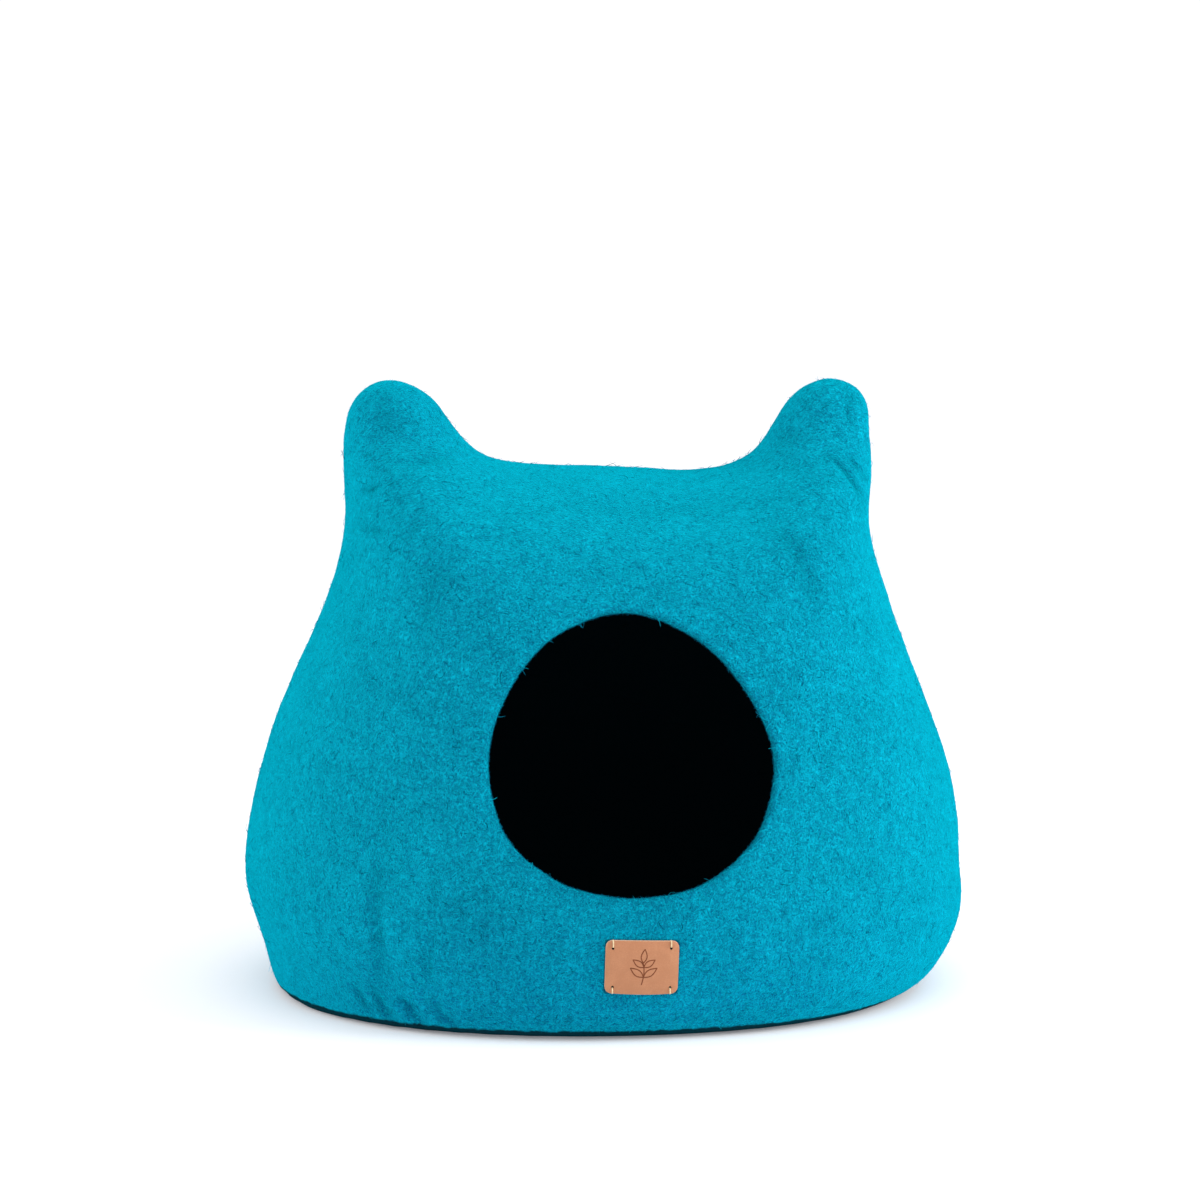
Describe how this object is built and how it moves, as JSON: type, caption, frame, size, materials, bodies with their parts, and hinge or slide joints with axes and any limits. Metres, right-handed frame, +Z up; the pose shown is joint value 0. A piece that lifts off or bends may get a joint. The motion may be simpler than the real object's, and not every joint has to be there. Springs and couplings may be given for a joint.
{
  "type": "felt cat cave",
  "caption": "Seamless felted wool pet cave with two soft ears, a round cut front entry, and a small leather patch held by thread stitches.",
  "frame": {"origin": "middle of the flat base, on the floor", "axes": "+Z up, the entry faces -Y, +X to the right as seen from the front"},
  "size_m": [0.5044, 0.4459, 0.4228],
  "materials": {
    "teal_wool_felt": "matt wet-felted wool with short loose fibres",
    "tan_leather": "smooth vegetable-tanned leather with darker cut edges",
    "cream_thread": "waxed twisted thread"
  },
  "bodies": {
    "root": {"felt_shell": "teal_wool_felt", "leather_patch": "tan_leather", "stitch_top_left": "cream_thread", "stitch_top_right": "cream_thread", "stitch_bottom_left": "cream_thread", "stitch_bottom_right": "cream_thread"}
  },
  "joints": []
}
